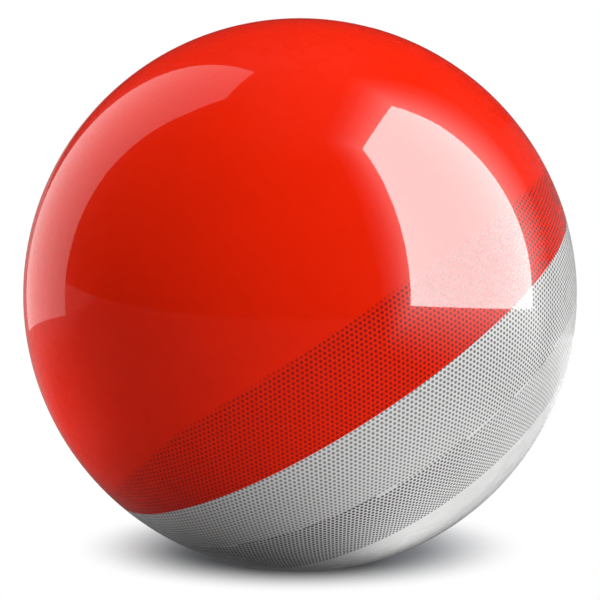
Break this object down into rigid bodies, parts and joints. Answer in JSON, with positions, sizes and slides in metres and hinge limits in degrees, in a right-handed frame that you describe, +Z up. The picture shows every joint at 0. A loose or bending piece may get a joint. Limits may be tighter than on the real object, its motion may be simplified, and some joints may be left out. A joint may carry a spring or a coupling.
{
  "type": "bowling ball",
  "caption": "Undrilled ten-pin bowling ball: a glossy printed polyester cover cast round a filler sphere, a shaped weight block and a locator pin.",
  "frame": {"origin": "centre of the ball", "axes": "+Z up as the ball rests, +Y along the pin axis from the weight block's base to where the locator pin shows, +X to the right seen from -Y"},
  "size_m": [0.2172, 0.2172, 0.2172],
  "materials": {
    "printed_cover": "polyester printed in red and white with two bands of small grey dots, under a clear polished coat",
    "filler_resin": "cast filled resin, as moulded",
    "dense_resin": "cast barium-loaded resin, as moulded",
    "pin_resin": "cast resin, polished flush with the ball at its outer end"
  },
  "bodies": {
    "root": {"cover_shell": "printed_cover", "outer_core": "filler_resin", "weight_block": "dense_resin", "locator_pin": "pin_resin"}
  },
  "joints": []
}
